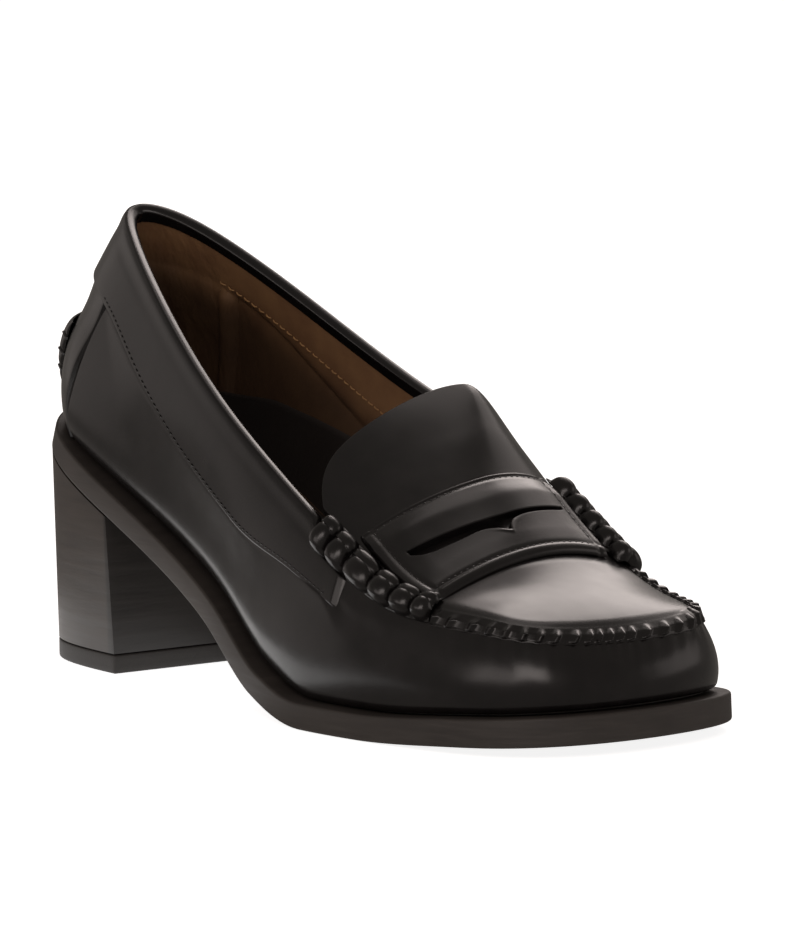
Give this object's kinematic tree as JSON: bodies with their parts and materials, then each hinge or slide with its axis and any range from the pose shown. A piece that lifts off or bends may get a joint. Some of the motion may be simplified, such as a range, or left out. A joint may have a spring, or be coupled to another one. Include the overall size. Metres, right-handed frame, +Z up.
{
  "type": "square toe loafer",
  "caption": "Right women's penny loafer in black leather with a soft square toe, gathered moccasin seam, slotted saddle, raised tongue and a tall block heel, standing empty on its sole.",
  "frame": {"origin": "on the floor under the middle of the bounding box", "axes": "+X to the toe, +Y to the inner (medial) side, which is the shoe's left, +Z up"},
  "size_m": [0.2418, 0.0894, 0.1197],
  "materials": {
    "leather": "smooth polished black leather, semi-gloss, with soft creases",
    "sole": "dark brown-black sole with a satin stained edge",
    "heel": "stained stacked block, dark brown-black, satin",
    "top_lift": "matte black rubber heel tip",
    "sock": "smooth black leather sock, dull"
  },
  "bodies": {
    "root": {"outsole": "sole", "heel": "heel", "top_lift": "top_lift", "insole": "sock", "upper": "leather", "tongue": "leather", "saddle": "leather", "moc_seam": "leather", "roll_lateral": "leather", "roll_medial": "leather", "collar_band": "leather", "backstay": "leather", "back_roll": "leather"}
  },
  "joints": []
}
